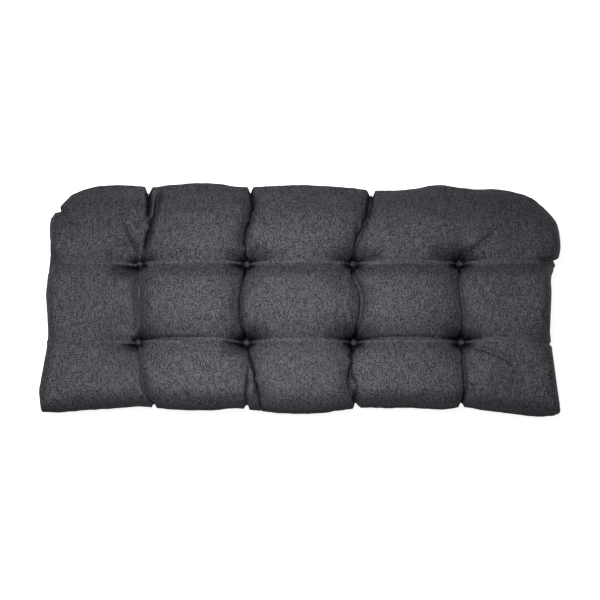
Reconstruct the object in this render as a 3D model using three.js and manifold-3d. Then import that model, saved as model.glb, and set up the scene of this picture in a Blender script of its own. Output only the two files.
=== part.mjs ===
// Tufted loveseat seat cushion, in millimetres, +Z up.
// A top and a bottom cloth panel are sewn edge to edge, blown full of fibre and tied through at
// eight tufts, two rows of four. The back corners are round and the front ones nearly square.
// The origin is the middle of the footprint on the seat it lies on, +X runs along the seat to its
// right-hand end and +Y runs to the backrest.
import * as THREE from "three";
import Module from "manifold-3d";
import { mergeVertices } from "three/addons/utils/BufferGeometryUtils.js";

const { clamp, lerp, smoothstep } = THREE.MathUtils;

// Driving dimensions
const width = 1118; // over the front corners, 44 in
const depth = 500; // over the front and the back seam
const crownHeight = 127; // seat to the top of a pillow, 5 in
const seamHeight = 56; // seat to the sewn edge
const backCornerRadius = 118;
const frontCornerRadius = 24;
const sideRoll = 105; // how far in from a side seam the cloth rises to its crown
const endRoll = 85; // the same from the front and the back seam
const pressedFlat = 18; // how far the seat flattens the underside's free crown
const undersideCreases = 0.63; // depth of the underside's creases against the top's
const squareness = 4; // of a pillow between two creases: 2 is a round arch, more is flatter

// Rows of tufts
const frontRowY = -97;
const backRowY = 74;

// Lines from the front seam to the back seam: both side seams and the four creases through the
// tufts. x and crease (its depth) are given at these five stations, and front and back say how far
// those two seams are drawn in at the line's ends.
const stationY = [
  frontCornerRadius - depth / 2,
  frontRowY,
  (frontRowY + backRowY) / 2,
  backRowY,
  depth / 2,
];
const isSeam = [0, 0, 0, 0, 0];
const lengthLines = [
  { name: "left", x: [-559, -544, -548, -544, -545], crease: isSeam, front: 6, back: 4 },
  { name: "far_left", x: [-311, -345, -341, -345, -329], crease: [20, 28, 28, 30, 44], front: 22, back: 15 },
  { name: "mid_left", x: [-114, -114, -125, -114, -112], crease: [40, 32, 34, 34, 46], front: 23, back: 25 },
  { name: "mid_right", x: [122, 115, 135, 115, 152], crease: [36, 32, 30, 32, 40], front: 22, back: 22 },
  { name: "far_right", x: [352, 344, 348, 344, 348], crease: [30, 28, 26, 26, 14], front: 20, back: 9 },
  { name: "right", x: [559, 536, 539, 550, 562], crease: isSeam, front: 14, back: 7 },
];

// Lines from side to side: the front seam, the creases that join each row's tufts, the back seam.
const crossLines = [
  { name: "front_seam", y: -depth / 2, crease: 0 },
  { name: "front", y: frontRowY, crease: 20 },
  { name: "back", y: backRowY, crease: 18 },
  { name: "back_seam", y: depth / 2, crease: 0 },
];

// How far in from the footprint's front and back the crest of each bay between two lines lies.
const bayCrests = [
  { front: 14, back: 3 },
  { front: 13, back: 0 },
  { front: 4, back: 3 },
  { front: 17, back: 4 },
  { front: 0, back: 8 },
];
const cellsPerBay = 10;
const cellsPerRow = 9;

// A tuft draws the cloth into a round dimple, and a small covered nub sits at its bottom.
const dimple = { depth: 29, radius: 90 };
const nub = { diameter: 15, height: 9, sunk: 1.5, sides: 10, rings: 6 };
const seatGap = 0.3; // between a nub and the cloth it sits in

const clothColour = "#4b494e";
const nubColour = "#57545a";
const clothRoughness = 0.95;
const weldDistance = 1e-3; // corners closer than this are one

// A round corner's middle lies this far in from the sides of the square one.
const cornerCut = (radius) => radius * (1 - Math.SQRT1_2);

// 1 on both creases that bound a pillow and 0 midway between them.
const towardsCrease = (share) => Math.abs(2 * share - 1) ** squareness;

// A quarter round that climbs from 0 at the seam to 1.
const rise = (share) => Math.sqrt(1 - (1 - clamp(share, 0, 1)) ** 2);

// How far a round corner lies in from a side, at a distance along that side from its middle.
function cornerInset(along, halfSide, radius) {
  const past = Math.max(0, along - halfSide + radius);
  return radius - Math.sqrt(radius ** 2 - past ** 2);
}

// The value at y of something given at the five stations, easing from each to the next.
function atStation(values, y) {
  const k = stationY.slice(1, -1).filter((station) => y > station).length;
  return lerp(values[k], values[k + 1], smoothstep(y, stationY[k], stationY[k + 1]));
}

// X of a length line at y. The side seams also follow the round corners.
function lineX(line, y) {
  const x = atStation(line.x, y);
  if (line.crease !== isSeam) {
    return x;
  }
  const radius = y < 0 ? frontCornerRadius : backCornerRadius;
  return x - Math.sign(x) * cornerInset(Math.abs(y), depth / 2, radius);
}

// How far the "front" or the "back" seam is drawn in at a share of the way across a bay.
function seamInset(bay, share, seam) {
  const atLines = lerp(lengthLines[bay][seam], lengthLines[bay + 1][seam], share);
  return lerp(bayCrests[bay][seam], atLines, towardsCrease(share));
}

// Where a grid place lies in plan, and how full the cushion is there, 0 at its seam and 1 inside.
// A place is a share of the way across a bay and a share of the way along a row of pillows.
function planPlace(bay, across, row, along) {
  const frontCut = cornerCut(frontCornerRadius);
  const backCut = cornerCut(backCornerRadius);
  const rowLines = [frontCut - depth / 2, frontRowY, backRowY, depth / 2 - backCut];
  const flatY = lerp(rowLines[row], rowLines[row + 1], along);
  const halfX = width / 2 - lerp(frontCut, backCut, flatY / depth + 0.5);
  const flatLineX = (line) => (line.crease === isSeam ? Math.sign(line.x[0]) * halfX : line.x[1]);
  const flatX = lerp(flatLineX(lengthLines[bay]), flatLineX(lengthLines[bay + 1]), across);
  const inset = (seam, radius) =>
    seamInset(bay, across, seam) + cornerInset(Math.abs(flatX), width / 2, radius);
  const rowY = [
    inset("front", frontCornerRadius) - depth / 2,
    frontRowY,
    backRowY,
    depth / 2 - inset("back", backCornerRadius),
  ];
  const fromSide = halfX - Math.abs(flatX);
  const fromEnd = Math.min(flatY - rowLines[0], rowLines.at(-1) - flatY);
  return {
    x: lerp(lineX(lengthLines[bay], flatY), lineX(lengthLines[bay + 1], flatY), across),
    y: lerp(rowY[row], rowY[row + 1], along),
    fullness: rise(fromSide / sideRoll) * rise(fromEnd / endRoll),
  };
}

// The eight tufts, where the creases of both directions cross: front row first, left to right.
const tufts = crossLines.flatMap(({ name, y, crease }, row) =>
  lengthLines
    .map((line, bay) => ({ name: `${name}_${line.name}`, x: lineX(line, y), y, bay, row, line }))
    .filter(({ line }) => crease > 0 && line.crease !== isSeam),
);

// How deep the creases and dimples press the cloth below its crown at a grid place.
function valley(bay, across, row, along, { x, y }) {
  const lengthLine = lengthLines[across < 0.5 ? bay : bay + 1];
  const crossLine = crossLines[along < 0.5 ? row : row + 1];
  const lengthwise = atStation(lengthLine.crease, y) * towardsCrease(across);
  const crosswise = crossLine.crease * towardsCrease(along);
  const pulls = tufts.map((tuft) => {
    const distance = Math.hypot(x - tuft.x, y - tuft.y);
    return dimple.depth * Math.max(0, 1 - distance / dimple.radius) ** 2;
  });
  return Math.cbrt(lengthwise ** 3 + crosswise ** 3) + Math.max(...pulls);
}

// Top and underside of the filled cover at a grid place.
function clothHeights(bay, across, row, along) {
  const place = planPlace(bay, across, row, along);
  const press = valley(bay, across, row, along, place);
  const top = seamHeight + place.fullness * (crownHeight - seamHeight - press);
  const freeDrop = seamHeight + pressedFlat - undersideCreases * press;
  return { ...place, top, under: Math.max(0, seamHeight - place.fullness * freeDrop) };
}

// Grid stations across several spans, closer together towards each span's ends.
function gridStations(spans, cells) {
  const stations = [];
  for (let span = 0; span < spans; span += 1) {
    for (let k = 0; k < cells; k += 1) {
      stations.push({ span, share: (1 - Math.cos((Math.PI * k) / cells)) / 2 });
    }
  }
  return [...stations, { span: spans - 1, share: 1 }];
}

// The filled cover as one closed mesh: a top grid and an underside grid that share the seam.
function coverGeometry() {
  const bays = gridStations(bayCrests.length, cellsPerBay);
  const rows = gridStations(crossLines.length - 1, cellsPerRow);
  const positions = [];
  for (const side of ["top", "under"]) {
    for (const row of rows) {
      for (const bay of bays) {
        const place = clothHeights(bay.span, bay.share, row.span, row.share);
        positions.push(place.x, place.y, place[side]);
      }
    }
  }
  const index = [];
  const gridSize = bays.length * rows.length;
  for (let j = 0; j < rows.length - 1; j += 1) {
    for (let i = 0; i < bays.length - 1; i += 1) {
      const a = j * bays.length + i;
      const [b, c, d] = [a + 1, a + bays.length + 1, a + bays.length];
      // The diagonals run to the corners, so that no corner cell is folded flat.
      const inLeft = i < (bays.length - 1) / 2;
      const inFront = j < (rows.length - 1) / 2;
      const cell = inLeft === inFront ? [a, b, c, a, c, d] : [a, b, d, b, c, d];
      index.push(...cell, ...cell.map((vertex) => vertex + gridSize).reverse());
    }
  }
  const geometry = new THREE.BufferGeometry();
  geometry.setAttribute("position", new THREE.Float32BufferAttribute(positions, 3));
  geometry.setIndex(index);
  return geometry;
}

// A flattened ball, wider than it is high, grown by a clearance.
function nubGeometry(clearance = 0) {
  const ball = new THREE.SphereGeometry(1, nub.sides, nub.rings);
  ball.scale(
    nub.diameter / 2 + clearance,
    nub.height / 2 + clearance,
    nub.diameter / 2 + clearance,
  );
  return ball.rotateX(Math.PI / 2);
}

// Each tuft's two nubs, with the places of their middles.
const nubs = tufts.flatMap(({ name, x, y, bay, row }) => {
  const { top, under } = clothHeights(bay, 0, row, 0);
  const lift = nub.height / 2 - nub.sunk;
  return [
    { name: `tuft_top_${name}`, place: [x, y, top + lift] },
    { name: `tuft_under_${name}`, place: [x, y, under - lift] },
  ];
});

const wasm = await Module();
wasm.setup();

// A closed mesh as a solid for cutting, and back.
function toSolid(geometry) {
  const bare = new THREE.BufferGeometry().setIndex(geometry.index);
  bare.setAttribute("position", geometry.getAttribute("position"));
  const merged = mergeVertices(bare, weldDistance);
  const vertProperties = merged.getAttribute("position").array;
  const triVerts = new Uint32Array(merged.index.array);
  return new wasm.Manifold(new wasm.Mesh({ numProp: 3, vertProperties, triVerts }));
}

function toGeometry(solid) {
  const mesh = solid.getMesh();
  const geometry = new THREE.BufferGeometry();
  geometry.setAttribute("position", new THREE.Float32BufferAttribute(mesh.vertProperties, 3));
  geometry.setIndex(new THREE.BufferAttribute(mesh.triVerts, 1));
  geometry.computeVertexNormals();
  return geometry;
}

function makeMesh(name, geometry, colour) {
  const material = new THREE.MeshStandardMaterial({ color: colour, roughness: clothRoughness });
  const mesh = new THREE.Mesh(geometry, material);
  mesh.name = name;
  return mesh;
}

// The filled cover with a seat cut for each nub.
function makeCover() {
  const seats = nubs.map(({ place }) => toSolid(nubGeometry(seatGap).translate(...place)));
  const solid = seats.reduce((cover, seat) => cover.subtract(seat), toSolid(coverGeometry()));
  return makeMesh("cushion", toGeometry(solid), clothColour);
}

function makeNub({ name, place }) {
  const mesh = makeMesh(name, nubGeometry(), nubColour);
  mesh.position.set(...place);
  return mesh;
}

const loveseatCushion = new THREE.Group();
loveseatCushion.add(makeCover(), ...nubs.map(makeNub));

export default loveseatCushion;
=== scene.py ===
# Tufted loveseat cushion in a charcoal woven cover, lying on a pale floor.
import math
import time

import bpy
import numpy as np
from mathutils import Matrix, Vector


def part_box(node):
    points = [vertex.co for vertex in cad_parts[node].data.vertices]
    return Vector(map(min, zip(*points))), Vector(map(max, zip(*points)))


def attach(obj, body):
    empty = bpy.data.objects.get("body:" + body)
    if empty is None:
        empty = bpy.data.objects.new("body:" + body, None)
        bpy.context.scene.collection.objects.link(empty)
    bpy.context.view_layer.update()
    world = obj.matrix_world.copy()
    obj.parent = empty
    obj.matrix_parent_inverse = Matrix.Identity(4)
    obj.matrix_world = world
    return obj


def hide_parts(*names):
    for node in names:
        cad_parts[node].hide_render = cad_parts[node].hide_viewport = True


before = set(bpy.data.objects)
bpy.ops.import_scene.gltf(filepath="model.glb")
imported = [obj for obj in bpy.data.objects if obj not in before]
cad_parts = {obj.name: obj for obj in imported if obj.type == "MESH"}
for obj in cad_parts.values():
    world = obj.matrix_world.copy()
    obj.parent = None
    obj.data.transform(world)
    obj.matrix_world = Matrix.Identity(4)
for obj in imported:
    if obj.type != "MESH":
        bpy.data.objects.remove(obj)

mm = 0.001
scene = bpy.context.scene
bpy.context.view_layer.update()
startTime = time.time()


def report(stage):
    print(f"{stage} at {time.time() - startTime:.0f} s", flush=True)


def linearColour(hexText):
    # sRGB hex to linear: the dark end is straight, the rest a power of 2.4
    channels = [int(hexText[k:k + 2], 16) / 255 for k in (1, 3, 5)]
    return [c / 12.92 if c <= 0.04045 else ((c + 0.055) / 1.055) ** 2.4 for c in channels] + [1.0]


def smoothStep(value, low, high):
    # 0 below low and 1 above high; between them t squared times three less two t
    t = np.clip((value - low) / (high - low), 0, 1)
    return t * t * (3 - 2 * t)


def fading(distance, reach, steepness=1):
    # 1 at no distance and 0 from the reach on: one less the share of the reach, to the steepness
    return np.clip(1 - distance / reach, 0, 1) ** steepness


def curveThrough(knots, values, at):
    # a cubic between neighbouring knots; its slope at a knot comes from the knots on both sides
    slopes = np.gradient(values, knots, axis=0)
    k = np.clip(np.searchsorted(knots, at, side="right") - 1, 0, len(knots) - 2)
    gap = knots[k + 1] - knots[k]
    t = np.clip((at - knots[k]) / gap, 0, 1)
    shape = t.shape + (1,) * (values.ndim - 1)
    gap, t = gap.reshape(shape), t.reshape(shape)
    start = values[k] * (1 + 2 * t) * (1 - t) ** 2 + slopes[k] * gap * t * (1 - t) ** 2
    end = values[k + 1] * t ** 2 * (3 - 2 * t) - slopes[k + 1] * gap * t ** 2 * (1 - t)
    return start + end


def between(lines, place):
    # lines stacked on the first axis, read at a place such as 2.3 of the way through them
    k = np.minimum(place.astype(int), len(lines) - 2)
    low = np.take_along_axis(lines, k[None], 0)[0]
    high = np.take_along_axis(lines, k[None] + 1, 0)[0]
    return low + (high - low) * (place - k)


latticeSize = 96  # points each way of the noise lattice before it repeats
latticeStart = 480.37, 480.61  # shifts its points off the cushion's middle lines


def softNoise(x, y, size, seed):
    # random heights from -1 to 1 on a square lattice, eased between its points
    lattice = np.random.default_rng(seed).uniform(-1, 1, (latticeSize, latticeSize))
    u, v = x / size + latticeStart[0], y / size + latticeStart[1]
    i, j = np.floor(u).astype(int), np.floor(v).astype(int)
    a, b = smoothStep(u - i, 0, 1), smoothStep(v - j, 0, 1)
    i, j, nextI, nextJ = (k % latticeSize for k in (i, j, i + 1, j + 1))
    near = lattice[i, j] * (1 - a) + lattice[nextI, j] * a
    far = lattice[i, nextJ] * (1 - a) + lattice[nextI, nextJ] * a
    return near * (1 - b) + far * b


def meshPiece(name, points, faces, uv=None, openness=None):
    mesh = bpy.data.meshes.new(name)
    mesh.from_pydata(points, [], faces)
    mesh.polygons.foreach_set("use_smooth", np.ones(len(mesh.polygons), bool))
    if uv is not None:
        corners = np.empty(len(mesh.loops), int)
        mesh.loops.foreach_get("vertex_index", corners)
        byCorner = uv if len(uv) == len(corners) else uv[corners]
        mesh.uv_layers.new(name="weave").data.foreach_set("uv", byCorner.astype(np.float32).ravel())
    if openness is not None:
        values = mesh.attributes.new("openness", "FLOAT", "POINT").data
        values.foreach_set("value", openness.astype(np.float32))
    mesh.update()
    piece = bpy.data.objects.new(name, mesh)
    scene.collection.objects.link(piece)
    return piece


# The cover: its cut, how full it is and how finely it is made. Lengths in mm.
cover = {
    "seamHeight": 56,
    "crown": 127,
    "roll": 95,  # how far in from the seam the cover rises to its crown
    "underCrown": 74,  # how far the free underside hangs below the seam
    "floorEase": 4,  # height over which the underside eases onto the floor
    "tuftReach": 95,
    "tuftPull": 34,
    "undersidePress": 0.7,  # depth of the underside's creases against the top's
    "pillowCells": (24, 18),  # simulated cells across a bay and along a row
    "pillowCrowding": (0.6, 0.6),  # how much they crowd towards the lines: 0 is evenly spaced
    "fineCells": (56, 50),  # the same two on the finished cover
    "fineCrowding": (0.85, 0.8),
    "lineRounds": 3,  # times that the cloth is shifted onto its lines
    "endsEven": (30, 90),  # distances from a short end that are evened out fully and no longer
    "endsCorners": (0.2, 0.6),  # the same two from the corners, in rows of pillows
    "endsRounds": 40,
    "nubSeat": (6.5, 3, 14),  # the cloth round a nub is low up to here, then rises this steeply, up to here
    "floorShade": (26, 0.45),  # painted shade: the cloth is darker up to this height, and the share of its openness left at the floor
}
footprint = dict(width=1118, depth=500, frontRadius=12, backRadius=118)
flatCut = dict(width=1207, depth=580, frontRadius=8, backRadius=128)

# Stations of the lines below, from the front seam to the back seam and from left to right
stationY = np.array([-245, -205, -150, -97, -40, 10, 50, 74, 105, 140, 170, 200, 245.0])
stationX = np.array([-559, -430, -345, -290, -230, -170, -114, 0, 115, 170, 230, 290, 344, 430, 559.0])
frontRowStation = 3  # of stationY
levelY, levelX = [0] * len(stationY), [0] * len(stationX)  # a line with no crease
# Lines from front to back: x at each station, depth of the crease the cover is blown up with and of the
# sharp folds at its bottom, and how far to each side of the line these lie, as its band. Then the wide
# hollow where the filling gives way: its depth, its reach to left and right, as one number or one for each
# station, and how far aside of the line its bottom lies
lengthLines = {
    "left": dict(x=[-547, -553, -545, -538, -540, -545, -542, -540, -538, -541, -546, -543, -548],
                 crease=levelY, fold=levelY),
    "farLeft": dict(x=[-303, -326, -340, -345, -340, -340, -341, -345, -337, -329, -322, -315, -308],
                    crease=[16, 17, 12, 18, 6, 4, 8, 22, 30, 32, 30, 26, 20],
                    fold=[10, 6, 3, 2, 0.5, 0.8, 0.5, 3, 11, 16, 18, 14, 0], band=1,
                    hollow=[10, 14, 28, 44, 52, 54, 54, 54, 52, 50, 48, 42, 34],
                    reach=(180, [22, 22, 28, 36, 44, 46, 44, 36, 22, 18, 16, 16, 16]),
                    aside=[0, 0, -10, -14, -22, -26, -24, -16, -6, 0, 0, 0, 0]),
    "midLeft": dict(x=[-82, -87, -101, -114, -127, -125, -119, -114, -119, -117, -109, -102, -108],
                    crease=[12, 22, 26, 30, 25, 27, 29, 31, 34, 36, 38, 38, 36],
                    fold=[1, 13, 16, 8, 10, 10, 10, 8, 10, 13, 17, 18, 16], band=0,
                    hollow=[6, 8, 10, 14, 12, 12, 12, 14, 16, 16, 18, 18, 18], reach=(24, 16)),
    "midRight": dict(x=[128, 107, 105, 115, 129, 129, 114, 115, 119, 131, 143, 151, 156],
                     crease=[14, 22, 25, 30, 24, 26, 28, 30, 32, 32, 34, 34, 34],
                     fold=[2, 9, 15, 7, 8, 8, 8, 6, 7, 12, 18, 19, 16], band=2.5,
                     hollow=[7, 8, 10, 14, 11, 11, 11, 13, 15, 15, 16, 16, 16], reach=(24, 16)),
    "farRight": dict(x=[340, 347, 345, 344, 346, 341, 342, 344, 346, 348, 350, 350, 350],
                     crease=[16, 20, 20, 26, 18, 20, 22, 24, 11, 3, 0, 0, 0],
                     fold=[12, 11, 9, 4, 5, 6, 5, 3, 0, 0, 0, 0, 0], band=1,
                     hollow=[7, 8, 8, 12, 9, 9, 10, 12, 7, 3, 0, 0, 0], reach=(26, 26)),
    "right": dict(x=[552, 546, 540, 535, 534, 538, 541, 552, 562, 561, 558, 549, 545],
                  crease=levelY, fold=levelY),
}
# Lines from side to side: y, then the crease and the fold at each station. The fold lies foldAside mm
# from the line, and a ridge of cloth stands along the line itself
crossLines = {
    "frontSeam": dict(y=-250, crease=levelX, fold=levelX, foldAside=0),
    "front": dict(y=-97, crease=[4, 16, 22, 22, 22, 20, 22, 20, 22, 22, 22, 22, 22, 14, 8],
                  fold=[0, 0, 1, 8, 6, 2, 2, 0, 3, 6, 7, 6, 4, 1, 0], foldAside=7),
    "back": dict(y=74, crease=[2, 12, 18, 18, 18, 18, 18, 18, 18, 18, 18, 18, 18, 14, 10],
                 fold=[0, 0, 1, 1, 0, 0, 1, 0, 1, 2, 2, 1, 1, 1, 2], foldAside=-8),
    "backSeam": dict(y=250, crease=levelX, fold=levelX, foldAside=0),
}
bayCount, rowCount = len(lengthLines) - 1, len(crossLines) - 1
# Folds that end inside a pillow: their depth, width and path
freeFolds = [
    (27, 8, [(-331, 266), (-330, 229), (-328, 205), (-328, 172)]),
    (10, 10, [(-340, 92), (-357, 124), (-370, 152), (-379, 172)]),
    (17, 6.5, [(-104, -150), (-107, -185), (-111, -212), (-115, -262)]),
    (16, 7, [(108, -165), (112, -195), (117, -225), (124, -262)]),
    (3, 5, [(117, 100), (121, 120), (124, 142), (129, 175)]),
    (8, 12, [(352, 84), (385, 108), (432, 146)]),
    (9, 10, [(352, -104), (399, -120), (440, -140), (470, -164)]),
    (11, 8, [(-575, 206), (-545, 199), (-515, 192), (-490, 186)]),
    (9, 9, [(590, 80), (560, 80), (530, 78), (505, 76)]),
    (5, 8, [(590, -100), (555, -103), (520, -101), (490, -100)]),
]
# How far in from the footprint the front and the back seam lie at each x: every bay bulges out its own way
seamInsets = {
    "x": np.array([-559, -510, -470, -430, -385, -355, -325, -282, -225, -175, -135, -100, -50, 0,
                   50, 90, 122, 145, 180, 240, 306, 350, 385, 427, 470, 505, 559.0]),
    "front": [6, 5, 8, 11, 14, 17, 17, 12, 9, 10, 14, 10, 4, 2,
              4, 10, 14, 15, 14, 14, 11, 16, 10, 4, -1, -4, 0],
    "back": [1, 6, 5, 0, -2, 0, 3, -2, -6, -4, 2, 2, 0, -2,
             0, 3, 6, 9, 11, 8, -2, 5, 8, 8, 13, 11, 10],
}
# Pits beside each tuft, where two pillows round over it: how far along its row each reaches, behind the
# row to left and right, and in front of it to left and right
pits = {
    "front": [(16, 50, 36, 14), (40, 52, 54, 20), (62, 54, 26, 26), (46, 42, 24, 24)],
    "back": [(26, 40, 60, 20), (44, 58, 48, 20), (48, 74, 24, 24), (64, 48, 26, 26)],
}
scallop = 3  # how square a pillow stands between two creases: 2 is a round arch
nubSunk = 4  # how far a nub sits in the cloth


def lineTable(lines, column):
    # one column of the lines, a row for each line
    return np.array([line[column] for line in lines.values()], float)


def gridStations(spans, cells, crowding):
    # places along the spans, crowded towards both ends of each span by a share of a cosine
    k = np.arange(spans * cells + 1)
    span = np.minimum(k // cells, spans - 1)
    t = k / cells - span
    return span + (1 - crowding) * t + crowding * (1 - np.cos(np.pi * t)) / 2


def cornerInset(along, half, radius):
    # how far a round corner lies in from a side, at a distance along that side from its middle: the radius
    # less the root of its square less the square of what is past the corner's start
    past = np.clip(along - half + radius, 0, radius)
    return radius - np.sqrt(radius ** 2 - past ** 2)


def seamInset(x, end):
    # the curve through the front's or the back's insets, read at x
    return curveThrough(seamInsets["x"], np.array(seamInsets[end], float), x)


def lengthTable(column, y):
    # a column of the length lines, read at y: one value for each line, on the first axis
    return np.moveaxis(curveThrough(stationY, lineTable(lengthLines, column).T, y), -1, 0)


def crossTable(column, x):
    # the same for the cross lines, read at x
    return np.moveaxis(curveThrough(stationX, lineTable(crossLines, column).T, x), -1, 0)


def panelPlace(u, v, outline, isCut=False):
    # x lies between two length lines and y between two cross lines; round corners draw both in
    half = outline["width"] / 2, outline["depth"] / 2
    radii = outline["frontRadius"], outline["backRadius"]
    cuts = [radius * (1 - math.sqrt(0.5)) for radius in radii]
    stretch = half[0] * 2 / footprint["width"], half[1] * 2 / footprint["depth"]
    tuftX = lineTable(lengthLines, "x")[:, frontRowStation] * stretch[0]
    tuftY = lineTable(crossLines, "y") * stretch[1]
    rows = [cuts[0] - half[1], tuftY[1], tuftY[2], half[1] - cuts[1]]
    straightY = between(np.stack([row + 0 * v for row in rows]), v)
    halfX = half[0] - cuts[0] - (cuts[1] - cuts[0]) * (straightY / outline["depth"] + 0.5)
    straightX = between(np.stack([-halfX, *[x + 0 * u for x in tuftX[1:-1]], halfX]), u)
    if isCut:
        lines = np.stack([-half[0] + 0 * u, *[x + 0 * u for x in tuftX[1:-1]], half[0] + 0 * u])
    else:
        lines = lengthTable("x", straightY).copy()
    sideInset = cornerInset(np.abs(straightY), half[1], np.where(straightY < 0, *radii))
    lines[0] += sideInset
    lines[-1] -= sideInset
    front, back = (cornerInset(np.abs(straightX), half[0], radius) for radius in radii)
    if not isCut:
        front, back = front + seamInset(straightX, "front"), back + seamInset(straightX, "back")
    rows = np.stack([front - half[1], rows[1] + 0 * u, rows[2] + 0 * u, half[1] - back])
    return between(lines, u), between(rows, v)


def edgeDistance(x, y, outline):
    # distance in from the edge of a rectangle with round corners, and the nearest place on that edge
    radius = np.where(y < 0, outline["frontRadius"], outline["backRadius"])
    midX, midY = outline["width"] / 2 - radius, outline["depth"] / 2 - radius
    across, along = np.abs(x) - midX, np.abs(y) - midY
    inCorner = (across > 0) & (along > 0)
    reach = np.hypot(across, along) + 1e-6
    distance = radius - np.where(inCorner, reach, np.maximum(across, along))
    nearSide = across > along
    edgeX = np.where(inCorner, np.sign(x) * (midX + across / reach * radius),
                     np.where(nearSide, np.sign(x) * outline["width"] / 2, x))
    edgeY = np.where(inCorner, np.sign(y) * (midY + along / reach * radius),
                     np.where(nearSide, y, np.sign(y) * outline["depth"] / 2))
    return distance, edgeX, edgeY


def creaseDepths(x, y, u, v):
    # the creases of the nearest line each way, fading towards the middle of a pillow
    return [between(table, np.rint(place)) * np.abs(2 * (place % 1) - 1) ** scallop
            for table, place in ((lengthTable("crease", y), u), (crossTable("crease", x), v))]


tuftRows, tuftPlaces = ("front", "back"), ("far_left", "mid_left", "mid_right", "far_right")
tuftBoxes = [[np.array(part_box(f"tuft_{side}_{row}_{place}")) / mm for side in ("top", "under")]
             for row in tuftRows for place in tuftPlaces]
tuftMiddles = [top.mean(0)[:2] for top, _ in tuftBoxes]
# the length line and the cross line that each tuft lies on
tuftU, tuftV = np.tile([1, 2, 3, 4], 2), np.repeat([1, 2], 4)


def fromTuft(x, y, middle):
    # level distance from a tuft's middle
    return np.hypot(x - middle[0], y - middle[1])


def startShape(u, v):
    # a plain crown above and below the seam, pressed down at the creases and the tufts
    x, y = panelPlace(u, v, footprint)
    inset = edgeDistance(*panelPlace(u, v, flatCut, True), flatCut)[0]
    full = np.sqrt(1 - (1 - np.clip(inset / cover["roll"], 0, 1)) ** 2)
    lengthwise, crosswise = creaseDepths(x, y, u, v)
    pulls = [fading(fromTuft(x, y, middle), cover["tuftReach"]) for middle in tuftMiddles]
    press = np.cbrt(lengthwise ** 3 + crosswise ** 3) + cover["tuftPull"] * np.max(pulls, axis=0) ** 2
    top = cover["seamHeight"] + full * (cover["crown"] - cover["seamHeight"] - press)
    under = cover["seamHeight"] - full * (cover["underCrown"] - cover["undersidePress"] * press)
    return np.stack([x, y, top], -1), np.stack([x, y, under], -1), np.maximum(lengthwise, crosswise)


def gridQuads(ids):
    # the four corners of each cell of the grid, anticlockwise seen from above
    return np.stack([ids[:-1, :-1], ids[:-1, 1:], ids[1:, 1:], ids[1:, :-1]], -1).reshape(-1, 4)


def closedGrid(shape):
    # vertex numbers of a top and an underside grid that share their edge, and their faces
    top = np.arange(shape[0] * shape[1]).reshape(shape)
    inner = np.zeros(shape, bool)
    inner[1:-1, 1:-1] = True
    under = top.copy()
    under[inner] = top.size + np.arange(inner.sum())
    return top, under, inner, np.concatenate([gridQuads(top), gridQuads(under)[:, ::-1]])


# How deep the filling gives way beside the creases and round the tufts, after the cover is blown up
give = {
    "roundBottom": 0.2,  # how round a hollow's bottom is, in parts of its reach
    "lineSteepness": 1.6,  # of a length line's hollow towards its middle: 1 is a straight slope
    "acrossLines": (0.6, 84, 2),  # in parts of a cross line's crease, the reach and the steepness
    "behindBackRow": (20, 110, 1.5),  # depth, reach and steepness
    "rowEase": 40,  # in front of the back row that hollow ends over this distance
    "tufts": (36, 84, 4),  # depth, reach and steepness
    "tuftFlat": 6,  # out to here a tuft's hollow has its full depth
    "fullDepthAt": 40,  # a hollow has its full depth from this height above the seam
    "tuftSettle": 50,  # reach over which the cloth is brought to the height of its nub
    "backSlope": (0.45, 175),  # beside the back seam it stands lower: by this part of its height, and reach
    "shoulders": (0.45, 50),  # beside the other seams it stands fuller, the same two
    "ends": (0.3, 22),  # and more so at the two short ends
    "shouldersEnd": (120, 220),  # both fade towards the back between these y
    "crest": 132,  # height of the highest pillow
    "underSeam": 60,  # how far in from the seam the underside goes down with it
}

# How the cover is blown up. Stiffness, pressure and holds are the cloth solver's own numbers.
filling = {
    "frames": 30,
    "pressure": 15,
    "tension": 60,
    "compression": 15,
    "shear": 10,
    "bending": 0.05,
    "quality": 5,
    "seamHold": 0.1,  # how firmly the seam is held to its outline; 1 is fixed
    "creaseHold": 0.3,  # of a crease as deep as the next number
    "fullHoldDepth": 36,
    "underHold": 0.5,  # hold of the underside's creases against the top's
    "startFullness": 0.8,
}


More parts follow.
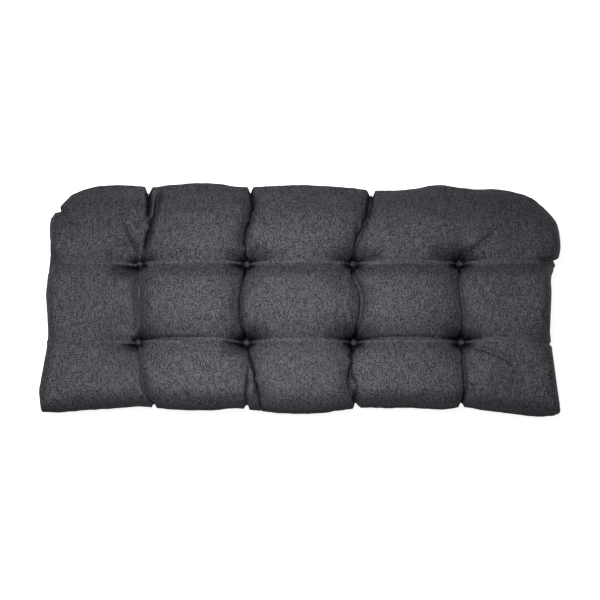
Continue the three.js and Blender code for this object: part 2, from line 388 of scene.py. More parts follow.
def blowUp(u, v):
    # two flat-cut panels sewn at the edge, tied at the tufts and blown up until the cloth is taut
    top, under, crease = startShape(u, v)
    topIds, underIds, inner, faces = closedGrid(u.shape)
    across, along = cover["pillowCells"]
    cut = np.stack([*panelPlace(u, v, flatCut, True), 0 * u + cover["seamHeight"]], -1)
    goal, start, flat = (np.concatenate([above.reshape(-1, 3), below[inner]]) * mm
                         for above, below in ((top, under), (top, under), (cut, cut)))
    start[:, 2] += (cover["seamHeight"] * mm - start[:, 2]) * (1 - filling["startFullness"])
    tied = tuftV * along, tuftU * across
    for ids, side, edge, sink in ((topIds, 0, 0, nubSunk), (underIds, 1, 1, -nubSunk)):
        # a tuft above is tied higher by what the filling gives way there afterwards
        lift = sink + (side == 0) * give["tufts"][0]
        goal[ids[tied]] = [[*boxes[side].mean(0)[:2] * mm, (boxes[side][edge][2] + lift) * mm]
                           for boxes in tuftBoxes]
    piece = meshPiece("coverBlownUp", start, faces)
    keys = [piece.shape_key_add(name=name, from_mix=False) for name in ("start", "cut", "goal")]
    keys[1].data.foreach_set("co", flat.ravel())
    keys[2].data.foreach_set("co", goal.ravel())
    for value, when in ((0, 1), (1, filling["frames"] // 2)):
        keys[2].value = value
        keys[2].keyframe_insert("value", frame=when)
    onLine = np.zeros(u.shape, bool)
    onLine[:, ::across] = onLine[::along] = True
    hold = np.where(onLine, crease / filling["fullHoldDepth"] * filling["creaseHold"], 0)
    weights = np.concatenate([hold.ravel(), filling["underHold"] * hold[inner]])
    weights[topIds[~inner]] = filling["seamHold"]
    for ids in (topIds, underIds):
        weights[ids[tied]] = 1
    weights = np.round(weights, 2)  # so that few groups of vertices are added
    group = piece.vertex_groups.new(name="held")
    for weight in np.unique(weights[weights > 0]):
        group.add(np.flatnonzero(weights == weight).tolist(), float(weight), "REPLACE")
    cloth = piece.modifiers.new("Cloth", "CLOTH")
    settings = cloth.settings
    settings.quality = filling["quality"]
    for name in ("tension", "compression", "shear", "bending"):
        setattr(settings, f"{name}_stiffness", filling[name])
    settings.use_pressure = True
    settings.uniform_pressure_force = filling["pressure"]
    settings.vertex_group_mass = "held"
    settings.pin_stiffness = 1
    settings.rest_shape_key = keys[1]
    settings.effector_weights.gravity = 0
    cloth.collision_settings.use_collision = False
    cloth.point_cache.frame_end = filling["frames"]
    for when in range(1, filling["frames"] + 1):
        scene.frame_set(when)
    blown = np.empty(len(goal) * 3, np.float32)
    piece.evaluated_get(bpy.context.evaluated_depsgraph_get()).data.vertices.foreach_get("co", blown)
    blown = blown.reshape(-1, 3).astype(float) / mm
    mesh = piece.data
    bpy.data.objects.remove(piece)
    bpy.data.meshes.remove(mesh)
    scene.frame_set(1)
    return blown[topIds], blown[underIds]


def refined(sheet, coarse, fine):
    # the sheet read through its points at finer stations, across and then along
    across = curveThrough(coarse[0], np.swapaxes(sheet, 0, 1), fine[0])
    return curveThrough(coarse[1], np.swapaxes(across, 0, 1), fine[1])


def toLines(sheet, u, v):
    # the cloth is shifted sideways until its creases and seams lie on the tables' lines
    x, y, z = np.moveaxis(sheet, -1, 0).copy()
    across, along = cover["fineCells"]
    half = footprint["width"] / 2, footprint["depth"] / 2
    ends = ((0, "front", footprint["frontRadius"], -1), (rowCount, "back", footprint["backRadius"], 1))
    for _ in range(cover["lineRounds"]):
        wantedY = lineTable(crossLines, "y")[:, None] + 0 * x[::along]
        for row, end, radius, side in ends:
            at = x[row * along]
            wantedY[row] = side * (half[1] - cornerInset(np.abs(at), half[0], radius) - seamInset(at, end))
        shifts = np.repeat((wantedY - y[::along])[:, None], len(v), 1)
        y += between(shifts, v)
        wantedX = lengthTable("x", y[:, ::across])
        wantedX = np.stack([wantedX[k, :, k] for k in range(bayCount + 1)])
        radii = np.where(y < 0, footprint["frontRadius"], footprint["backRadius"])
        for line, side in ((0, -1), (bayCount, 1)):
            at = y[:, line * across]
            wantedX[line] -= side * cornerInset(np.abs(at), half[1], radii[:, line * across])
        shifts = np.repeat((wantedX - x[:, ::across].T)[:, :, None], u.shape[1], 2)
        x += between(shifts, u)
    return np.stack([x, y, z], -1)


def evenEnds(sheet, v):
    # beside the two short ends the cloth hangs evenly from one row of the grid to the next
    sheet = sheet.copy()
    for rim in (0, -1):
        rimX = sheet[:, [rim], 0]
        place = np.stack([sheet[..., 0] - rimX, sheet[..., 2]], -1)
        share = 1 - smoothStep(np.abs(place[..., 0]), *cover["endsEven"])
        share = (share * smoothStep(np.minimum(v, rowCount - v), *cover["endsCorners"]))[1:-1, :, None]
        for _ in range(cover["endsRounds"]):
            place[1:-1] += share * (place[:-2] + place[2:] - 2 * place[1:-1]) / 4
        sheet[..., 0], sheet[..., 2] = place[..., 0] + rimX, place[..., 1]
    return sheet


def givingWay(sheet):
    # wide soft hollows, each deepest at its line or tuft, joined by the root of the sum of their squares
    x, y, z = np.moveaxis(sheet, -1, 0).copy()
    hollows = np.zeros(x.shape)

    def atStations(values):
        return curveThrough(stationY, np.ones(len(stationY)) * values, y)

    for line in lengthLines.values():
        if "hollow" in line:
            away = x - atStations(np.array(line["x"]) + line.get("aside", 0))
            left, right = (atStations(reach) for reach in line["reach"])
            away = away / np.where(away < 0, -left, right)
            away = np.hypot(away, give["roundBottom"]) - give["roundBottom"]
            hollows += (atStations(line["hollow"]) * fading(away, 1, give["lineSteepness"])) ** 2
    share, reach, steepness = give["acrossLines"]
    for crease, row in zip(crossTable("crease", x)[1:-1], (crossLines["front"], crossLines["back"])):
        hollows += (share * crease * fading(np.abs(y - row["y"]), reach, steepness)) ** 2
    depth, reach, steepness = give["behindBackRow"]
    behind = y - crossLines["back"]["y"]
    ease = smoothStep(behind, -give["rowEase"], 0)
    hollows += (depth * fading(behind, reach, steepness) * ease) ** 2
    depth, reach, steepness = give["tufts"]
    for middle in tuftMiddles:
        away = np.maximum(fromTuft(x, y, middle) - give["tuftFlat"], 0)
        hollows += (depth * fading(away, reach, steepness)) ** 2
    less, backReach = give["backSlope"]
    more, reach = give["shoulders"]
    toEnd = np.minimum(x - x[:, :1], x[:, -1:] - x)
    fuller = more * np.exp(-(np.minimum(y - y[:1], toEnd) / reach) ** 2)
    more, reach = give["ends"]
    fuller += more * np.exp(-(toEnd / reach) ** 2)
    near, far = give["shouldersEnd"]
    fuller *= smoothStep(-y, -far, -near)
    fuller -= less * fading(y[-1:] - y, backReach, 2)
    seamHeight = cover["seamHeight"]
    z += np.maximum(z - seamHeight, 0) * fuller
    z -= np.clip((z - seamHeight) / give["fullDepthAt"], 0, 1) * np.sqrt(hollows)
    # brought to its full height, then each tuft is brought back to its nub
    squeeze = (give["crest"] - seamHeight) / (z.max() - seamHeight)
    z = np.where(z > seamHeight, seamHeight + (z - seamHeight) * squeeze, z)
    tied = tuftV * cover["fineCells"][1], tuftU * cover["fineCells"][0]
    for boxes, row, column in zip(tuftBoxes, *tied):
        away = np.hypot(x - x[row, column], y - y[row, column])
        rise = boxes[0][0][2] + nubSunk - z[row, column]
        z += rise * fading(away, give["tuftSettle"], 2)
    return np.stack([x, y, z], -1)


def edgeRuns(sheet):
    # distance over the cloth to each of its four edges: left, right, front and back
    runX, runY = surfaceDistance(sheet, 1), surfaceDistance(sheet, 0)
    return np.stack([runX, runX[:, -1:] - runX, runY, runY[-1:] - runY])


def withTheSeam(sheet, sunk):
    # the underside goes down with the seam: at each point by what the four edges have sunk, each edge
    # weighted by one over its squared distance over the cloth, and less and less farther in
    away = edgeRuns(sheet)
    weights = 1 / (away + 0.01) ** 2  # a hundredth of a millimetre keeps the weight on an edge finite
    edges = [edge + 0 * sunk for edge in (sunk[:, :1], sunk[:, -1:], sunk[:1], sunk[-1:])]
    moved = sum(weight * edge for weight, edge in zip(weights, edges)) / weights.sum(0)
    sheet = sheet.copy()
    sheet[..., 2] += moved * (1 - smoothStep(away.min(0), 0, give["underSeam"]))
    return sheet


def unit(vectors):
    # divided by their lengths
    return vectors / np.maximum(np.linalg.norm(vectors, axis=-1, keepdims=True), 1e-9)


def outward(sheet, side):
    # unit normals: the sheet's steps along its two ways, crossed, once its small shapes are evened out
    for _ in range(sewing["normalRounds"]):
        sheet = sheet.copy()
        sheet[:, 1:-1] = (sheet[:, :-2] + 2 * sheet[:, 1:-1] + sheet[:, 2:]) / 4
        sheet[1:-1] = (sheet[:-2] + 2 * sheet[1:-1] + sheet[2:]) / 4
    return unit(side * np.cross(np.gradient(sheet, axis=1), np.gradient(sheet, axis=0)))


def surfaceDistance(sheet, axis):
    # distance run over the cloth from the first line of the grid
    steps = np.linalg.norm(np.diff(sheet, axis=axis), axis=2)
    return np.concatenate([np.zeros_like(steps[:, :1] if axis else steps[:1]), np.cumsum(steps, axis)], axis)


def pinch(distance, width):
    # two pillow edges that touch: a sharp bottom between steep walls, level again at the width; one less
    # the share of the width, to the power 1.5
    return fading(np.abs(distance), width, 1.5)


def bump(distance, width):
    # a round ridge: one less the squared share of the width, squared
    return np.clip(1 - (distance / width) ** 2, 0, 1) ** 2


def pathDistance(x, y, path):
    # distance from the nearest piece of a path, and how far along the path that is, from 0 to 1
    best, along = np.full(x.shape, np.inf), np.zeros(x.shape)
    lengths = [math.dist(a, b) for a, b in zip(path, path[1:])]
    for k, (a, b) in enumerate(zip(path, path[1:])):
        dx, dy = (b[0] - a[0]) / lengths[k], (b[1] - a[1]) / lengths[k]
        run = np.clip((x - a[0]) * dx + (y - a[1]) * dy, 0, lengths[k])
        distance = np.hypot(x - a[0] - run * dx, y - a[1] - run * dy)
        along = np.where(distance < best, (sum(lengths[:k]) + run) / sum(lengths), along)
        best = np.minimum(distance, best)
    return best, along


# The cover's sewing and small folds. Lengths in mm.
sewing = {
    "normalRounds": 12,  # how often the cloth is evened out before its normals are taken
    "nubEdge": (4, 9),  # folds and gathers begin between these distances from a tuft's middle
    "seamFade": (5, 50),  # this far from the seam a row's taut cloth begins and the underside's folds end
    "foldWidth": (2.8, 0.27),  # of a crease's sharp fold: a least width, and more with its depth
    "crossFoldWidth": 7,
    "band": (1.4, 5),  # the taut cloth along a row of tufts: height and half width
    "bandNoise": (0.6, 60),  # its unevenness, in parts of its height, and over what length
    "nearTuft": (6, 16),  # how much deeper a crease's fold is at a tuft, and its reach
    "pitDepth": 26,
    "pitStart": ((-2, 4), (2, 6)),  # where a pit begins, along its row and away from it
    "pitWidth": (4, 5, 0.5),  # away from its row: its start, a least width, and more with its length
    "pitSteepness": (0.7, 1.5),  # along its row and away from it
    "foldEnds": 0.25,  # share of a free fold's length over which each end fades
    "lip": (1, 7, 0.8),  # the sewn edge: how far it stands out, its width and how level it lies
    "sharedPush": 9,  # this near to the seam both panels are pushed the same way
    "tuck": (2.5, 15, 12),  # the groove along the edge: depth, distance from the edge and half width
    "tuckFront": (0.15, 120, 220),  # its share elsewhere, and how far forward it begins to grow and is whole
    "pucker": (0.6, 22, 2, 20),  # of the seam: height, spacing, and the distances between which it fades
    "gathers": (1.8, 11, 24),  # round a tuft: height, and the distances between which they fade
    "undulation": ((1.2, 70), (0.5, 28)),  # heights and sizes of the filling's soft lumps
    "underLumps": 700,  # the underside's own lumps are read this far away
    "lumpFade": 40,  # they fade over this, towards the seam
}


def pitSink(x, y, clear):
    # how deep the pits are: for each its depth, times its fading along the row, times that away from it
    sink = np.zeros(x.shape)
    (outStart, upStart), (outPower, upPower) = sewing["pitStart"], sewing["pitSteepness"]
    start, least, more = sewing["pitWidth"]
    for middle, lengths in zip(tuftMiddles, pits["front"] + pits["back"]):
        for (sideX, sideY), length in zip(((-1, 1), (1, 1), (-1, -1), (1, -1)), lengths):
            out, up = sideX * (x - middle[0]), sideY * (y - middle[1])
            wide = fading(out, length, outPower) * smoothStep(out, *outStart)
            high = smoothStep(up, *upStart) * fading(up - start, more * length + least, upPower)
            sink += sewing["pitDepth"] * wide * high * clear
    return sink


def sewn(sheets):
    # creases, folds, gathers and the seam are pushed along the cloth's normal; pits sink straight down
    across, along = cover["fineCells"]
    shaped = []
    for side, sheet in zip((1, -1), sheets):
        x, y = np.moveaxis(sheet, -1, 0)[:2]
        runs = edgeRuns(sheet)
        runX, runY, seam = runs[0], runs[2], runs.min(0)
        _, edgeX, edgeY = edgeDistance(x, y, footprint)
        clear = smoothStep(np.min([fromTuft(x, y, middle) for middle in tuftMiddles], 0), *sewing["nubEdge"])
        normal = outward(sheet, side)
        lengthwise, crosswise, push, sink = (np.zeros(x.shape) for _ in range(4))
        least, more = sewing["foldWidth"]
        deeper, reach = sewing["nearTuft"]
        depths = lengthTable("fold", y)
        byRow = np.exp(-np.min([np.abs(y - crossLines[row]["y"]) for row in tuftRows], 0) / reach)
        for k, line in enumerate(lengthLines.values()):
            if "band" in line:
                away = np.abs(np.abs(runX - runX[:, k * across:k * across + 1]) - line["band"])
                depth = depths[k] + deeper * byRow
                lengthwise -= depth * pinch(away, least + more * depth) * clear
        depths = crossTable("fold", x)
        height, width = sewing["band"]
        uneven, length = sewing["bandNoise"]
        for k, row in ((1, crossLines["front"]), (2, crossLines["back"])):
            away = runY - runY[k * along:k * along + 1]
            crosswise -= depths[k] * pinch(away - row["foldAside"], sewing["crossFoldWidth"]) * clear
            taut = height * (1 + uneven * softNoise(x, y * 0, length, 9 + k))
            crosswise += taut * smoothStep(seam, *sewing["seamFade"]) * bump(away, width) * clear
        for depth, width, path in freeFolds:
            away, run = pathDistance(x, y, path)
            fade = smoothStep(run, 0, sewing["foldEnds"]) * smoothStep(1 - run, 0, sewing["foldEnds"])
            push -= depth * pinch(away, width) * fade
        if side > 0:
            sink = pitSink(x, y, clear)
        else:
            inner = 1 - smoothStep(seam, *sewing["seamFade"])
            lengthwise, crosswise, push = (value * inner for value in (lengthwise, crosswise, push))
        height, near, far = sewing["gathers"]
        for k, middle in enumerate(tuftMiddles):
            # nine to eleven pleats, spread in a way of its own at each tuft
            away, turn = fromTuft(x, y, middle), np.arctan2(y - middle[1], x - middle[0])
            pleats = np.cos((9 + k % 3) * turn + 1.9 * k + 1.2 * np.sin(2 * turn + k))
            push += height * pleats * smoothStep(away, *sewing["nubEdge"]) * (1 - smoothStep(away, near, far))
        for seed, (height, size) in enumerate(sewing["undulation"]):
            lumps = softNoise(x, y + sewing["underLumps"] * (side < 0), size, seed)
            push += height * lumps * smoothStep(seam, 0, sewing["lumpFade"])
        height, spacing, near, far = sewing["pucker"]
        # waves of half the spacing from rise to rise, and finer ones half as high
        waves = softNoise(edgeX, edgeY, spacing / 2, 5) + 0.5 * softNoise(edgeX, edgeY, spacing / 4, 6)
        push += height * waves * (1 - smoothStep(seam, near, far))
        depth, place, width = sewing["tuck"]
        least, near, far = sewing["tuckFront"]
        push -= depth * bump(seam - place, width) * (least + (1 - least) * smoothStep(-y, near, far))
        sheet = sheet - side * sink[..., None] * [0, 0, 1]
        shaped.append(dict(sheet=sheet, seam=seam, normal=normal, pushes=(lengthwise, crosswise, push)))
    rim = shaped[0]["normal"] + shaped[1]["normal"]
    finished = []
    for part in shaped:
        # a crease is pushed in square to its line
        share = (1 - smoothStep(part["seam"], 0, sewing["sharedPush"]))[..., None]
        normal = unit(part["normal"] * (1 - share) + unit(nearestRim(rim)) * share)
        lengthwise, crosswise, push = (value[..., None] for value in part["pushes"])
        stand, width, level = sewing["lip"]
        near = fading(part["seam"], width, 2)[..., None]
        moved = part["sheet"] + normal * (push + stand * near)
        moved = moved + unit(normal * [0, 1, 1]) * lengthwise + unit(normal * [1, 0, 1]) * crosswise
        moved[..., 2:] += (nearestRim(part["sheet"])[..., 2:] - moved[..., 2:]) * near * level
        finished.append(moved)
    for edge in ((0, slice(None)), (-1, slice(None)), (slice(None), 0), (slice(None), -1)):
        finished[1][edge] = finished[0][edge]
    return finished


def nearestRim(values):
    # every point of the grid takes the value of the rim point nearest to it in the grid
    rows, columns = values.shape[:2]
    i, j = np.meshgrid(np.arange(rows), np.arange(columns), indexing="ij")
    gaps = np.stack([i, rows - 1 - i, j, columns - 1 - j])
    nearest = np.argmin(gaps, 0)
    atRow = np.choose(nearest, [0 * i, 0 * i + rows - 1, i, i])
    atColumn = np.choose(nearest, [j, j, 0 * j, 0 * j + columns - 1])
    return values[atRow, atColumn]


def seatedOnFloor(z, ease):
    # level at the floor, rising along a short parabola to the free height: z plus ease, squared, by four
    # times ease
    return np.where(z < -ease, 0, np.where(z > ease, z, (z + ease) ** 2 / (4 * ease)))


def roomForNubs(sheet, side):
    # the cloth meets each nub's edge from below and never covers it
    flat, slope, reach = cover["nubSeat"]
    x, y, z = np.moveaxis(sheet, -1, 0).copy()
    for boxes in tuftBoxes:
        low, high = boxes[0] if side > 0 else boxes[1]
        away = fromTuft(x, y, (low + high) / 2)
        base = low[2] + nubSunk if side > 0 else high[2] - nubSunk
        limit = base + side * np.clip(away - flat, 0, None) * slope
        z = np.where(away < reach, np.minimum(z, limit) if side > 0 else np.maximum(z, limit), z)
    return np.stack([x, y, z], -1)


def openSky(sheet, side):
    # share of the sky that each point sees past the pillows round it: in 16 directions over the grid, the
    # squared cosine of the steepest rise to a point some steps away
    i, j = np.indices(sheet.shape[:2])
    seen = []
    for down, right in ((0, 1), (1, 2), (1, 1), (2, 1), (1, 0), (2, -1), (1, -1), (1, -2)):
        for turn in (1, -1):
            steepest = 0
            for step in (1, 2, 3, 4, 6, 8, 11, 15, 20, 26):
                row = np.clip(i + turn * down * step, 0, sheet.shape[0] - 1)
                column = np.clip(j + turn * right * step, 0, sheet.shape[1] - 1)
                gap = sheet[row, column] - sheet
                level = np.hypot(gap[..., 0], gap[..., 1]) + 1  # a millimetre more keeps the rise finite
                steepest = np.maximum(steepest, side * gap[..., 2] / level)
            seen.append(1 / (1 + steepest ** 2))
    return np.mean(seen, 0)


report("frame loaded")
coarse, dense = ([gridStations(*each) for each in zip((bayCount, rowCount), cover[cells], cover[crowding])]
                 for cells, crowding in (("pillowCells", "pillowCrowding"), ("fineCells", "fineCrowding")))
sheets = blowUp(*np.meshgrid(*coarse))
report("cover blown up")
gridU, gridV = np.meshgrid(*dense)
sheets = [evenEnds(toLines(refined(sheet, coarse, dense), gridU, gridV), gridV) for sheet in sheets]
softened = givingWay(sheets[0])
sheets = [softened, withTheSeam(sheets[1], (softened - sheets[0])[..., 2])]
sheets = sewn(sheets)
sheets = [roomForNubs(sheet, side) for sheet, side in zip(sheets, (1, -1))]
sheets[1][..., 2] = seatedOnFloor(sheets[1][..., 2], cover["floorEase"])
topIds, underIds, inner, faces = closedGrid(gridU.shape)
# the weave runs evenly over each panel, by the mean distance run over the cloth, and breaks at the seam
woven = [np.stack(np.meshgrid(surfaceDistance(sheet, 1).mean(0), surfaceDistance(sheet, 0).mean(1)), -1)
         for sheet in sheets]
corners = np.concatenate([gridQuads(topIds), gridQuads(topIds + topIds.size)[:, ::-1]]).ravel()
# share of the sky seen, which the cloth's material turns into painted shade in folds and near the floor
openness = [openSky(sheet, side) for sheet, side in zip(sheets, (1, -1))]
# painted shade where the underside comes down to the floor
height, least = cover["floorShade"]
openness[1] *= least + (1 - least) * smoothStep(sheets[1][..., 2], 0, height)
cushion = meshPiece("cushionCover", np.concatenate([sheets[0].reshape(-1, 3), sheets[1][inner]]) * mm, faces,
                    np.concatenate(woven).reshape(-1, 2)[corners] * mm,
                    np.concatenate([openness[0].ravel(), openness[1][inner]]))
report(f"cover sewn, {2 * len(faces)} triangles")


# The nubs: buttons covered in the cushion's cloth, one above and one below at each tuft
nub = {
    "rings": 14,
    "segments": 60,
    "hollow": (0.3, 0.45),  # the dimple in the middle: depth in parts of the height, width of the radius
    "gathers": (16, 0.025),  # how many, and how deep in parts of the radius
    "gathersFrom": (0.3, 0.8),  # shares of the outline between which they begin
    "uneven": 0.8,  # how unevenly they are spaced
    "domePart": 0.75,  # share of the outline that is the dome; the rest is its flat back
    "domeShape": (0.8, 0.75),  # powers of its radius and its height: 1 and 1 is round, less is squarer
    "backInset": 0.35,  # how far in the outline runs along the back, in parts of the radius
    "openness": 0.8,  # share of the sky that its cloth sees, which darkens it further as painted shade
}


def nubPiece(name, box, facing):
    # rings from the middle of the dome over its round edge to the middle of its flat back: radius is the
    # sine of an angle and height its cosine, each to a power
    (lowX, lowY, lowZ), (highX, highY, highZ) = box
    t = np.linspace(0, 1, nub["rings"] + 1)[1:, None]
    turn = np.linspace(0, 2 * math.pi, nub["segments"], endpoint=False)[None]
    count, depth = nub["gathers"]
    waves = np.cos(count * turn + nub["uneven"] * np.sin(3 * turn))
    pleat = 1 - depth * (1 + waves) / 2 * smoothStep(t, *nub["gathersFrom"])
    # the outline is a quarter of a rounded square, then in along the back
    dome, (radiusPower, heightPower), (hollow, hollowWidth) = nub["domePart"], nub["domeShape"], nub["hollow"]
    angle = np.minimum(t / dome, 1) * math.pi / 2
    radius = np.sin(angle) ** radiusPower * (1 - smoothStep(t, dome, 1) * nub["backInset"]) * pleat
    height = np.cos(angle) ** heightPower - hollow * (1 - smoothStep(radius, 0, hollowWidth))
    height = np.where(t > dome, 0, height) + 0 * turn
    midX, midY = (lowX + highX) / 2, (lowY + highY) / 2
    x = midX + radius * np.cos(turn) * (highX - lowX) / 2
    y = midY + radius * np.sin(turn) * (highY - lowY) / 2
    base, rise = (lowZ, highZ - lowZ) if facing > 0 else (highZ, lowZ - highZ)
    points = np.stack([x, y, base + rise * height], -1).reshape(-1, 3)
    middle = [[midX, midY, base + rise * (1 - hollow) * end] for end in (1, 0)]
    ids = np.arange(len(points)).reshape(nub["rings"], nub["segments"])
    following = np.roll(ids, -1, 1)
    faces = np.stack([ids[:-1], ids[1:], following[1:], following[:-1]], -1).reshape(-1, 4).tolist()
    faces += [[len(points), a, b] for a, b in zip(ids[0], following[0])]
    faces += [[len(points) + 1, b, a] for a, b in zip(ids[-1], following[-1])]
    if facing < 0:
        faces = [face[::-1] for face in faces]
    points = np.concatenate([points, middle])
    return meshPiece(name, points, faces, points[:, :2], 0 * points[:, 0] + nub["openness"])


nubs = []
for side, facing in (("top", 1), ("under", -1)):
    for row in tuftRows:
        for place in tuftPlaces:
            node = f"tuft_{side}_{row}_{place}"
            low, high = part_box(node)
            piece = nubPiece(f"nub_{side}_{row}_{place}", (low, high), facing)
            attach(piece, "root")
            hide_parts(node)
            nubs.append(piece)
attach(cushion, "root")
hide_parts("cushion")
report("nubs made")


def newMaterial(name):
    material = bpy.data.materials.new(name)
    material.use_nodes = True
    return material, material.node_tree, material.node_tree.nodes["Principled BSDF"]


def addNode(tree, kind, inputs=None, **settings):
    # inputs are given by name or number: a value, or the output that is joined to it
    node = tree.nodes.new(f"ShaderNode{kind}")
    for name, value in settings.items():
        setattr(node, name, value)
    for key, value in (inputs or {}).items():
        socket = node.inputs[key]
        if isinstance(value, bpy.types.NodeSocket):
            tree.links.new(value, socket)
        else:
            socket.default_value = value
    return node


def addMath(tree, operation, *values):
    return addNode(tree, "Math", dict(enumerate(values)), operation=operation).outputs[0]


def addRange(tree, value, start, end, easing="LINEAR"):
    inputs = {"Value": value, "From Min": start[0], "From Max": start[1], "To Min": end[0], "To Max": end[1]}
    return addNode(tree, "MapRange", inputs, interpolation_type=easing).outputs[0]


# The cloth of the cover and the nubs. Colours are sRGB, lengths in mm.
weave = {
    "thread": 1.5,  # about three times coarser than the real cloth, so that it still shows
    "slub": (26, 0.6),  # length over which a thread keeps its shade, and a crosswise one's share of it
    "slubNoise": dict(Scale=1, Detail=1, Roughness=0.6),
    "onTop": (0.4, 0.1),  # share of the crosswise threads: this much more where they lie on top
    "crossing": (0.85, 1.1),  # size of a fleck, where two threads cross, in threads
    "fleck": 0.42,  # share of the flecks in the shade; the long threads have the rest
    "contrast": 0.17,  # how little a shade has to change to go from dark to light
    "coverColours": ("#1d1b21", "#322f37", "#4d4952"),  # of the dark, middle and light threads
    "nubShadedColours": ("#151318", "#242228", "#38353c"),  # painted shade: darker than the cover's, as the nubs lie in shaded hollows
    "foldOpenness": (0.3, 0.93),  # share of the sky seen where it is darkest and lightest
    "foldShade": 0.9,  # how dark the painted shade is there
    "relief": (0.25, 1.5, 0.6),  # height of the threads, share of the flecks in it, and its strength
    "roughness": 0.65,
    "lustre": (0.15, 0.85),  # specular level of the dark and the light threads
}


def heatherCloth(name, colours, seed):
    # dyed and undyed fibres spun together: each thread has its own shade, which drifts along it
    material, tree, shader = newMaterial(name)
    place = addNode(tree, "UVMap", uv_map="weave").outputs[0]

    def scaled(location, wide, long):
        # the place on the cloth, counted in cells of this width and length
        inputs = {"Vector": place, "Location": (*location, 0), "Scale": (1 / wide, 1 / long, 1)}
        return addNode(tree, "Mapping", inputs).outputs[0]

    def mixed(factor, first, second):
        inputs = {"Factor": factor, "A": first, "B": second}
        return addNode(tree, "Mix", inputs, data_type="FLOAT").outputs[0]

    split = addNode(tree, "SeparateXYZ", {0: place})
    thread = weave["thread"] * mm
    turns = [addMath(tree, "MULTIPLY", split.outputs[k], math.pi / thread) for k in (0, 1)]
    over = addMath(tree, "MULTIPLY", *[addMath(tree, "SINE", turn) for turn in turns])
    slub, crosswise = weave["slub"]
    shades = []
    for k, (wide, long) in enumerate(((thread, slub * mm), (slub * mm * crosswise, thread))):
        inputs = {"Vector": scaled((seed + k, 3 * k), wide, long), **weave["slubNoise"]}
        shades.append(addNode(tree, "TexNoise", inputs, noise_dimensions="2D").outputs[0])
    wide, long = weave["crossing"]
    flecks = scaled((2 * seed, seed), wide * thread, long * thread)
    crossing = addNode(tree, "VectorMath", {0: flecks}, operation="FLOOR").outputs[0]
    fibre = addNode(tree, "TexWhiteNoise", {"Vector": crossing}, noise_dimensions="2D").outputs[0]
    onTop = addMath(tree, "GREATER_THAN", over, 0)
    threads = mixed(addMath(tree, "MULTIPLY_ADD", onTop, *weave["onTop"]), *shades)
    shade = mixed(weave["fleck"], threads, fibre)
    ramp = addNode(tree, "ValToRGB", {0: shade})
    stops = ramp.color_ramp.elements
    stops.new(0.5)
    for stop, side, colour in zip(stops, (-1, 0, 1), colours):
        stop.position, stop.color = 0.5 + side * weave["contrast"], linearColour(colour)
    # painted shade: where a fold hides the sky, the colour and the lustre are darkened; light threads have
    # the most lustre
    openness = addNode(tree, "Attribute", attribute_name="openness").outputs["Fac"]
    paintedFoldShade = addRange(tree, openness, weave["foldOpenness"], (1 - weave["foldShade"], 1), "SMOOTHSTEP")
    lustre = addRange(tree, shade, (0.5 - weave["contrast"], 0.5 + weave["contrast"]), weave["lustre"])
    inputs = {0: ramp.outputs[0], "Scale": paintedFoldShade}
    colour = addNode(tree, "VectorMath", inputs, operation="SCALE").outputs[0]
    tree.links.new(colour, shader.inputs["Base Color"])
    tree.links.new(addMath(tree, "MULTIPLY", lustre, paintedFoldShade), shader.inputs["Specular IOR Level"])
    shader.inputs["Roughness"].default_value = weave["roughness"]
    relief, fleckRelief, strength = weave["relief"]
    height = addMath(tree, "MULTIPLY_ADD", fibre, fleckRelief, addMath(tree, "ABSOLUTE", over))
    inputs = {"Height": height, "Distance": relief * mm, "Strength": strength}
    tree.links.new(addNode(tree, "Bump", inputs).outputs[0], shader.inputs["Normal"])
    return material


coverCloth = heatherCloth("charcoalHeatherCloth", weave["coverColours"], 0)
# the nubs' cloth is a darker copy of the cover's, painted shade for the hollows they sit in
shadedNubCloth = heatherCloth("shadedCharcoalNubCloth", weave["nubShadedColours"], 7)
cushion.data.materials.append(coverCloth)
for piece in nubs:
    piece.data.materials.append(shadedNubCloth)

# The floor, lights and camera
studio = {
    "floor": "#f4f4f3",
    "floorGlow": 0.92,  # its own light, so that it stays white
    "floorHalf": 40,
    "floorDrop": 0.0004,  # below the cushion, so that the two don't share a plane
    "worldStrength": 0.07,
    "horizon": (0.1, -0.2),  # heights between which the light off the floor begins
    "bounce": (0.3, 0.7),  # light off the floor, in front and elsewhere
    "bounceFront": (-0.6, 0.1),  # the front's share changes to the rest's between these directions
    "keyPlace": (-0.3, 0.12, 1.9),
    "keyTarget": (-0.02, -0.15, 0.05),
    "keySize": 0.6,
    "keySpread": 70,  # degrees: less light towards the two ends and the back
    "keyPower": 7.8,
    "lens": 85,
    "distance": 3.05,
    "elevation": 80,
    "cameraTarget": (0, -0.003, 0.06),
}


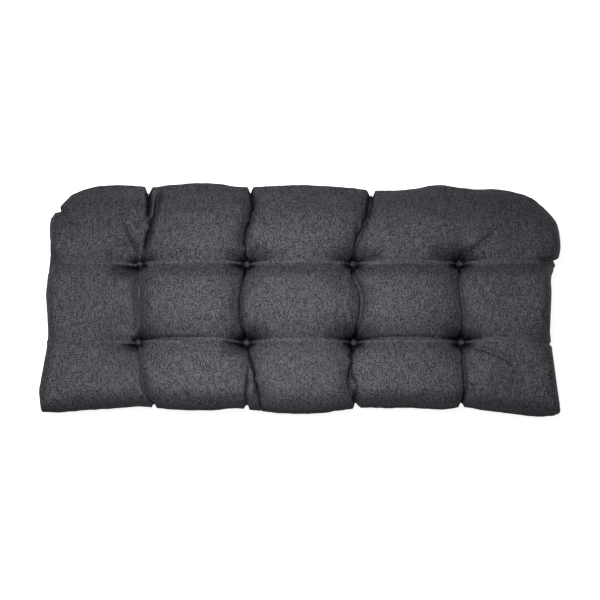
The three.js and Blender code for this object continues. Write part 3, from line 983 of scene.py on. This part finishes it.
def plainFloor():
    material, _, shader = newMaterial("paleStudioFloor")
    for name, value in (("Base Color", linearColour(studio["floor"])), ("Roughness", 1),
                        ("Specular IOR Level", 0), ("Emission Color", (1, 1, 1, 1)),
                        ("Emission Strength", studio["floorGlow"])):
        shader.inputs[name].default_value = value
    half = studio["floorHalf"]
    places = [(x * half, y * half, -studio["floorDrop"]) for x, y in ((-1, -1), (1, -1), (1, 1), (-1, 1))]
    floor = meshPiece("floor", places, [(0, 1, 2, 3)])
    floor.data.materials.append(material)
    # the surround takes its place as a soft light on the cushion
    floor.visible_diffuse = floor.visible_glossy = False
    return floor


def aimed(piece, place, target):
    piece.location = place
    piece.rotation_euler = (Vector(target) - Vector(place)).to_track_quat("-Z", "Y").to_euler()
    scene.collection.objects.link(piece)


plainFloor()
world = bpy.data.worlds.new("studio")
world.use_nodes = True
tree = world.node_tree
# weak light from above, stronger from below the horizon as off a pale floor, and less of that in front
around = addNode(tree, "SeparateXYZ", {0: addNode(tree, "TexCoord").outputs["Generated"]})
below = addRange(tree, around.outputs["Z"], studio["horizon"], (0, 1))
bounce = addRange(tree, around.outputs["Y"], studio["bounceFront"], studio["bounce"])
lit = addMath(tree, "MULTIPLY_ADD", below, bounce, studio["worldStrength"])
tree.links.new(lit, tree.nodes["Background"].inputs["Strength"])
tree.nodes["Background"].inputs["Color"].default_value = (1, 1, 1, 1)
scene.world = world
key = bpy.data.lights.new("key", "AREA")
key.size, key.energy, key.spread = studio["keySize"], studio["keyPower"], math.radians(studio["keySpread"])
aimed(bpy.data.objects.new("key", key), studio["keyPlace"], studio["keyTarget"])
camera = bpy.data.cameras.new("camera")
camera.lens = studio["lens"]
tilt = math.radians(studio["elevation"])
target = Vector(studio["cameraTarget"])
cameraPiece = bpy.data.objects.new("camera", camera)
aimed(cameraPiece, target + Vector((0, -math.cos(tilt), math.sin(tilt))) * studio["distance"], target)
scene.camera = cameraPiece
scene.view_settings.view_transform = "Standard"
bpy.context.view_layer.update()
report("studio set")
